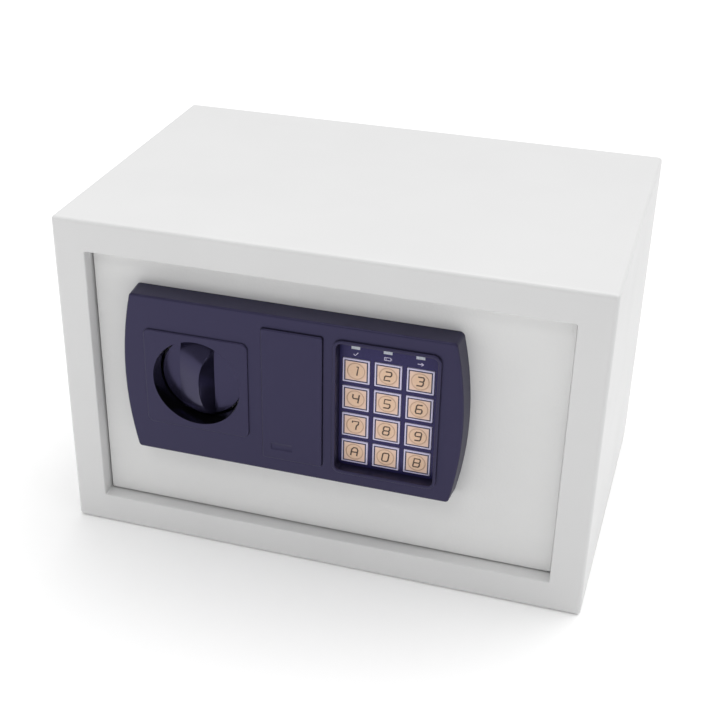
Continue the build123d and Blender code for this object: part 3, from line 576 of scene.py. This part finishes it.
# %% Strokes of the digits
strokes = {
    "1": [
        [(0.45, 1.0), (0.75, 1.0), (0.75, 0.0)],
    ],
    "2": [
        [
            (0.0, 1.0), (0.85, 1.0), (1.0, 0.85), (1.0, 0.62), (0.85, 0.5), (0.15, 0.5),
            (0.0, 0.38), (0.0, 0.0), (1.0, 0.0),
        ],
    ],
    "3": [
        [(0.0, 1.0), (0.85, 1.0), (1.0, 0.85), (1.0, 0.62), (0.88, 0.5), (0.3, 0.5)],
        [(0.88, 0.5), (1.0, 0.38), (1.0, 0.15), (0.85, 0.0), (0.0, 0.0)],
    ],
    "4": [
        [(0.0, 1.0), (0.0, 0.62), (0.15, 0.5), (1.0, 0.5)],
        [(1.0, 1.0), (1.0, 0.0)],
    ],
    "5": [
        [
            (1.0, 1.0), (0.0, 1.0), (0.0, 0.5), (0.85, 0.5), (1.0, 0.38), (1.0, 0.15),
            (0.85, 0.0), (0.0, 0.0),
        ],
    ],
    "6": [
        [
            (0.9, 1.0), (0.15, 1.0), (0.0, 0.85), (0.0, 0.15), (0.15, 0.0), (0.85, 0.0),
            (1.0, 0.15), (1.0, 0.38), (0.85, 0.5), (0.0, 0.5),
        ],
    ],
    "7": [
        [(0.0, 0.8), (0.0, 1.0), (1.0, 1.0), (1.0, 0.7), (0.75, 0.45), (0.75, 0.0)],
    ],
    "8": [
        [
            (0.15, 0.5), (0.0, 0.62), (0.0, 0.85), (0.15, 1.0), (0.85, 1.0), (1.0, 0.85),
            (1.0, 0.62), (0.85, 0.5), (0.15, 0.5),
        ],
        [
            (0.15, 0.5), (0.0, 0.38), (0.0, 0.15), (0.15, 0.0), (0.85, 0.0), (1.0, 0.15),
            (1.0, 0.38), (0.85, 0.5),
        ],
    ],
    "9": [
        [
            (1.0, 0.5), (0.15, 0.5), (0.0, 0.62), (0.0, 0.85), (0.15, 1.0), (0.85, 1.0),
            (1.0, 0.85), (1.0, 0.15), (0.85, 0.0), (0.1, 0.0),
        ],
    ],
    "0": [
        [
            (0.15, 1.0), (0.85, 1.0), (1.0, 0.85), (1.0, 0.15), (0.85, 0.0), (0.15, 0.0),
            (0.0, 0.15), (0.0, 0.85), (0.15, 1.0),
        ],
    ],
    "a": [
        [(0.0, 0.0), (0.0, 0.75), (0.25, 1.0), (0.75, 1.0), (1.0, 0.75), (1.0, 0.0)],
        [(0.0, 0.45), (1.0, 0.45)],
    ],
    "b": [
        [
            (0.0, 0.0), (0.0, 1.0), (0.85, 1.0), (1.0, 0.85), (1.0, 0.62), (0.88, 0.5),
            (0.0, 0.5),
        ],
        [(0.88, 0.5), (1.0, 0.38), (1.0, 0.15), (0.85, 0.0), (0.0, 0.0)],
    ],
}


digit_width, digit_height, digit_pen = 3.5 * mm, 5.3 * mm, 0.85 * mm


def pen_marks(lines, width, height, pen, centre, depth, lean=0.16):
    """A bmesh of flat pen strokes in the plane of the keypad."""
    curve = bpy.data.curves.new("pen", "CURVE")
    curve.dimensions = "3D"
    curve.bevel_depth = pen / 2
    curve.bevel_resolution = 2
    curve.use_fill_caps = True
    for line in lines:
        spline = curve.splines.new("POLY")
        spline.points.add(len(line) - 1)
        for point, (x, z) in zip(spline.points, line):
            z = (z - 0.5) * height
            point.co = ((x - 0.5) * width + lean * z, 0, z, 1)
    holder = bpy.data.objects.new("pen", curve)
    mesh = bpy.data.meshes.new_from_object(holder)
    bpy.data.objects.remove(holder)
    bpy.data.curves.remove(curve)
    flattened = Matrix.Scale(0.08, 4, (0, 1, 0))
    mesh.transform(Matrix.Translation((centre.x, depth, centre.z)) @ flattened)
    marks = bmesh.new()
    marks.from_mesh(mesh)
    bpy.data.meshes.remove(mesh)
    return marks


# %% [markdown]
# ## Twelve keys
# A key starts as a block the size of the CAD cap. Its front face is inset twice, which
# leaves the border, the line and the field as faces of their own, and the outside edges
# are rounded after that, so the inset stays square.

# %% Build the keys
def key_cap(name):
    low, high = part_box(f"key_{name}_cap")
    size, centre = high - low, (low + high) / 2
    work = bmesh.new()
    fitted = Matrix.Translation(centre) @ Matrix.Diagonal((*size, 1.0))
    bmesh.ops.create_cube(work, size=1.0, matrix=fitted)
    front = min(work.faces, key=lambda face: face.calc_center_median().y)
    corners = [e for e in work.edges if abs(e.verts[0].co.y - e.verts[1].co.y) > size.y / 2]
    outside = list(front.edges) + corners
    border_width, line_width = 0.85 * mm, 0.75 * mm
    for width, ink_number in ((border_width, 0), (line_width, 1)):
        made = bmesh.ops.inset_region(work, faces=[front], thickness=width, use_even_offset=True)
        for face in made["faces"]:
            face.material_index = ink_number
    front.material_index = 2
    bmesh.ops.bevel(
        work,
        geom=outside,
        offset=0.25 * mm,
        affect="EDGES",
        segments=3,
        profile=0.5,
        material=-1,
    )
    flat = work.loops.layers.uv.new("from_middle")
    for face in work.faces:
        for loop in face.loops:
            loop[flat].uv = ((loop.vert.co.x - centre.x) / mm, (loop.vert.co.z - centre.z) / mm)
    in_front = low.y - 0.005 * mm
    marks = pen_marks(strokes[name], digit_width, digit_height, digit_pen, centre, in_front)
    for face in marks.faces:
        face.material_index = 3
    scratch = bpy.data.meshes.new("marks")
    marks.to_mesh(scratch)
    marks.free()
    work.from_mesh(scratch)
    bpy.data.meshes.remove(scratch)
    inks = [border_ink, line_ink, finishes["key_face"], digit_ink]
    piece = finished(f"printed_key_{name}", work, inks, f"key_{name}")
    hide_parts(f"key_{name}_cap")


for name in strokes:
    key_cap(name)


# %% [markdown]
# ## Felt mat
# The mat is a cut sheet laid on the floor of the safe. It is a fine grid, trimmed round
# the two anchor holes, and its thickness is added last.

# %% Mat
low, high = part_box("floor_mat")
size, centre = high - low, (low + high) / 2
mat = bmesh.new()
spread = Matrix.Diagonal((size.x, size.y, 1.0, 1.0))
fitted = Matrix.Translation((centre.x, centre.y, low.z)) @ spread
bmesh.ops.create_grid(mat, x_segments=100, y_segments=58, size=0.5, matrix=fitted)
anchors = frame["record"]["mounts"][0]
hole_radius, hole_spacing = 11 * mm, 150 * mm
holes = [Vector((side * hole_spacing / 2, anchors["pos_m"][1], 0)) for side in (-1, 1)]
for hole in holes:
    cut = [v for v in mat.verts if (v.co.xy - hole.xy).length < 10.0 * mm]
    bmesh.ops.delete(mat, geom=cut, context="VERTS")
    for vert in mat.verts:
        away = vert.co.xy - hole.xy
        if away.length < 14.5 * mm and vert.is_boundary:
            vert.co.xy = hole.xy + away.normalized() * hole_radius
bmesh.ops.recalc_face_normals(mat, faces=mat.faces)
bmesh.ops.solidify(mat, geom=mat.faces, thickness=-1.8 * mm)
mat_piece = finished("felt_mat", mat, [finishes["felt"]], "cabinet", 60)
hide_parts("floor_mat")


# %% [markdown]
# ## Marks beside the lamps
# Three small signs are printed under the lamps in the pale ink of the key borders: a tick,
# a cell and an arrow. They are pen strokes, like the digits.

# %% Lamp signs
signs = {
    "tick": ([[(0.0, 0.45), (0.35, 0.0), (1.0, 1.0)]], 2.6, 1.9),
    "cell": (
        [
            [(0.0, 0.0), (0.88, 0.0), (0.88, 1.0), (0.0, 1.0), (0.0, 0.0)],
            [(1.0, 0.3), (1.0, 0.7)],
            [(0.2, 0.3), (0.2, 0.7)],
        ],
        3.9,
        1.7,
    ),
    "arrow": ([[(0.0, 0.5), (1.0, 0.5)], [(0.6, 1.0), (1.0, 0.5), (0.6, 0.0)]], 3.4, 1.7),
}
film_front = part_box("keypad_overlay")[0].y
lamp_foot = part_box("indicator_windows")[0].z
sign_pen = 0.42 * mm
for (sign, (lines, wide, tall)), key in zip(signs.items(), "123"):
    key_low, key_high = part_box(f"key_{key}_cap")
    spot = Vector(((key_low.x + key_high.x) / 2 - 0.4 * mm, 0, (key_high.z + lamp_foot) / 2))
    in_front = film_front - 0.004 * mm
    marks = pen_marks(lines, wide * mm, tall * mm, sign_pen, spot, in_front, 0.0)
    finished(f"sign_{sign}", marks, [border_ink], "door")


# %% [markdown]
# ## Floor, light and camera
# The safe stands on a plain pale floor. Most of the light comes from straight above, as
# from a white ceiling, so it is a very wide sun: no edge of its shadow is hard. Two weak
# lights fill from the front and the left, and a pale surround lifts the shadows. The
# camera looks down from the front right.

# %% Floor
floor_work = bmesh.new()
floor_half = 6.0
bmesh.ops.create_grid(floor_work, x_segments=2, y_segments=2, size=floor_half)
floor_mesh = bpy.data.meshes.new("floor")
floor_work.to_mesh(floor_mesh)
floor_work.free()
floor = bpy.data.objects.new("floor", floor_mesh)
bpy.context.collection.objects.link(floor)
floor.location.z = cad_box[0][2] - 0.0002
pale = Finish("pale_floor", Emission_Color=tone(1, 1, 1), Emission_Strength=0.06)
haze = pale.grain(0.4, 2.0)
pale.colour(pale.mixed(haze, tone(0.97, 0.97, 0.97), tone(0.985, 0.985, 0.985)))
pale.roughness(0.7 + 0.1 * (haze - 0.5))
floor_mesh.materials.append(pale.material)


# %% Light
def soft_light(name, place, aim, size, power):
    light = bpy.data.lights.new(name, "AREA")
    light.shape = "RECTANGLE"
    light.size, light.size_y = size
    light.energy = power
    lamp_object = bpy.data.objects.new(name, light)
    lamp_object.location = place
    lamp_object.rotation_euler = (Vector(aim) - Vector(place)).to_track_quat("-Z", "Y").to_euler()
    bpy.context.collection.objects.link(lamp_object)


world = bpy.data.worlds.new("surround")
bpy.context.scene.world = world
world.use_nodes = True
world.node_tree.nodes["Background"].inputs["Color"].default_value = (1.0, 1.0, 1.0, 1.0)
world.node_tree.nodes["Background"].inputs["Strength"].default_value = 0.38
ceiling = bpy.data.lights.new("ceiling_bounce", "SUN")
ceiling.energy = 2.3
ceiling.angle = math.radians(70)
ceiling_object = bpy.data.objects.new("ceiling_bounce", ceiling)
ceiling_object.rotation_euler = Vector((-0.22, -0.30, -1.0)).to_track_quat("-Z", "Y").to_euler()
bpy.context.collection.objects.link(ceiling_object)
soft_light("front_top", (-0.2, -1.1, 1.4), (0, 0, 0.1), (0.45, 0.35), 2.4)
soft_light("left_box", (-1.3, -0.5, 0.75), (0, 0, 0.1), (0.5, 0.5), 1.9)

# %% Camera
azimuth, elevation, roll = (math.radians(v) for v in (17.754, 29.803, 0.408))
level = Vector((math.cos(azimuth), math.sin(azimuth), 0))
outwards = Vector((math.sin(azimuth), -math.cos(azimuth), 0))
back = math.cos(elevation) * outwards + math.sin(elevation) * Vector((0, 0, 1))
upward = back.cross(level)
side = math.cos(roll) * level + math.sin(roll) * upward
top = math.cos(roll) * upward - math.sin(roll) * level
camera_data = bpy.data.cameras.new("camera")
camera_data.lens = 67.604
camera_data.sensor_width = 36.0
camera_data.shift_x = 0.0497
camera_data.shift_y = 0.0240
camera = bpy.data.objects.new("camera", camera_data)
facing = Matrix((side, top, back)).transposed().to_4x4()
aim = Vector((-28.416, 3.0, 66.727)) * mm
distance = 856.137 * mm
camera.matrix_world = Matrix.Translation(aim + back * distance) @ facing
bpy.context.collection.objects.link(camera)
bpy.context.scene.camera = camera
bpy.context.scene.view_settings.view_transform = "Standard"
